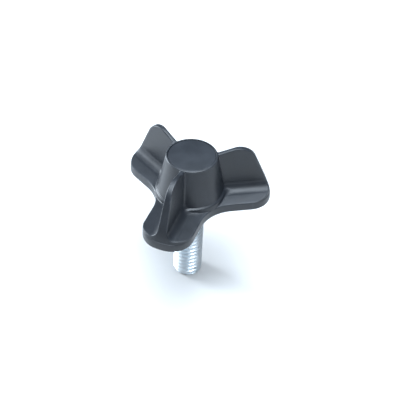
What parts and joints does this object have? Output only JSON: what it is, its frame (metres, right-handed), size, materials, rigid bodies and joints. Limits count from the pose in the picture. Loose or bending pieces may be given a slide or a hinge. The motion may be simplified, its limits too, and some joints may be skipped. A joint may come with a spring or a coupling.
{
  "type": "wing nut",
  "caption": "Hand-turned clamping screw: a black moulded grip with upright wings and a round capped hub, on a zinc-plated threaded steel stud.",
  "frame": {"origin": "middle of the underside of the grip, on the screw's axis, where it bears on the clamped work", "axes": "+Z along the screw's axis, from the threaded end towards the cap; one wing lies along +X"},
  "size_m": [0.0273, 0.03, 0.0321],
  "materials": {
    "grip_moulding": "satin moulded",
    "cap_moulding": "satin moulded",
    "plated_steel": "bright zinc plated"
  },
  "bodies": {
    "root": {"wing_grip": "grip_moulding", "hub_cap": "cap_moulding", "set_screw": "plated_steel"}
  },
  "joints": []
}
